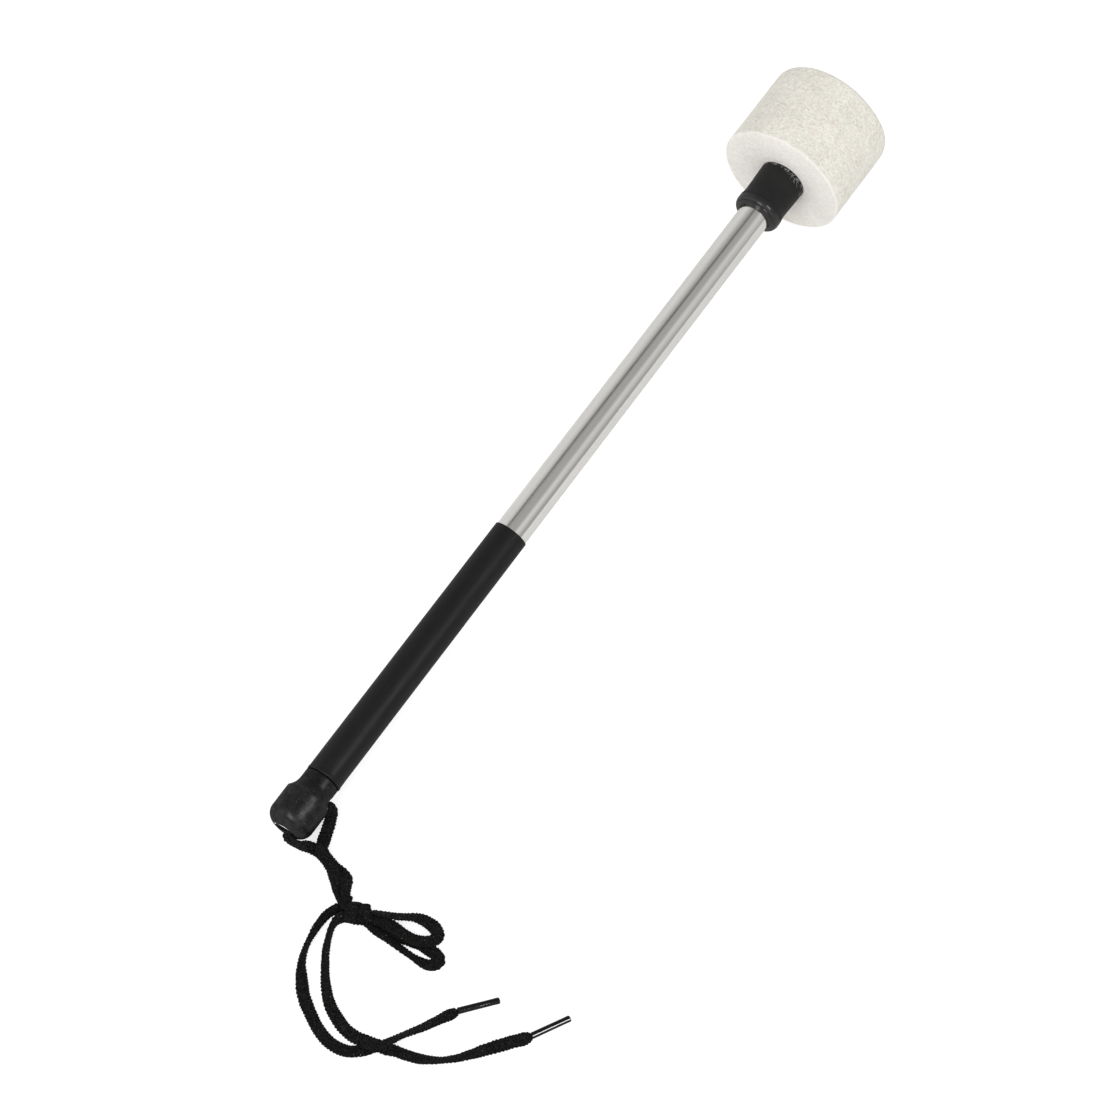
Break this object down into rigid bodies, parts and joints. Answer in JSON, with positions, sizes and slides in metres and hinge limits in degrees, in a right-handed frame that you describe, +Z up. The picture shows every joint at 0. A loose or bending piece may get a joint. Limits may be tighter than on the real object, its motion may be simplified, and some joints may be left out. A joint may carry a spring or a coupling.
{
  "type": "drum mallet",
  "caption": "Drum mallet with a hard cylindrical felt head on a rubber ferrule, a straight aluminium shaft, a sleeved grip, and a rubber end cap with a flat wrist lace tied in a bow.",
  "frame": {"origin": "on the table that the mallet lies on, under the middle of the box round its rigid pieces", "axes": "+Y along the mallet from the end cap to the felt head, +Z up, +X to the side that the lace lies on"},
  "size_m": [0.1462, 0.4179, 0.0521],
  "materials": {
    "felt": "hard pressed wool felt, off-white",
    "shaft_aluminium": "satin, drawn along its length",
    "black_rubber": "black, soft sheen",
    "grip_skin": "charcoal shrink sleeve, matte",
    "fixing_steel": "zinc plated",
    "plug_wood": "turned, unfinished",
    "lace": "black woven flat lace",
    "aglet": "glossy black"
  },
  "bodies": {
    "root": {"felt_head": "felt", "head_washer": "fixing_steel", "head_screw": "fixing_steel", "head_plug": "plug_wood", "ferrule": "black_rubber", "shaft_tube": "shaft_aluminium", "grip_sleeve": "grip_skin", "end_cap": "black_rubber", "lace_in_cap": "lace", "lace_side_strand": "lace", "lace_end_strand": "lace", "half_knot": "lace", "bow_knot": "lace", "bow_loop_upper": "lace", "bow_loop_lower": "lace", "tail_outer": "lace", "tail_inner": "lace", "aglet_outer": "aglet", "aglet_inner": "aglet"}
  },
  "joints": []
}
